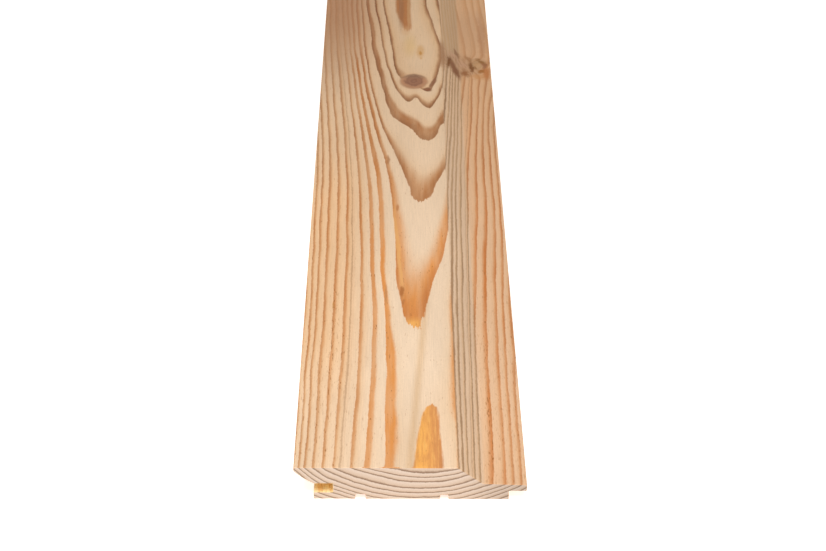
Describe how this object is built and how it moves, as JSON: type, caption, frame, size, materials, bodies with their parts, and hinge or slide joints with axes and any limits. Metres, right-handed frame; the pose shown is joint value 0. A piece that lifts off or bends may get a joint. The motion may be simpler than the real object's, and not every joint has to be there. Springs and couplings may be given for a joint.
{
  "type": "rhombus cladding board",
  "caption": "Softwood cladding board with a leaning rhombus section: overhanging nose over a groove on one edge, splay and tongue on the other, relief grooves in the back.",
  "frame": {"origin": "middle of the back face, which is the bottom of the board as it lies on a floor", "axes": "+X across the width towards the tongue, +Y along the length, +Z from the back face to the weather face"},
  "size_m": [0.14, 1.8, 0.022],
  "materials": {
    "larch": "planed, unfinished"
  },
  "bodies": {
    "root": {"cladding_board": "larch"}
  },
  "joints": []
}
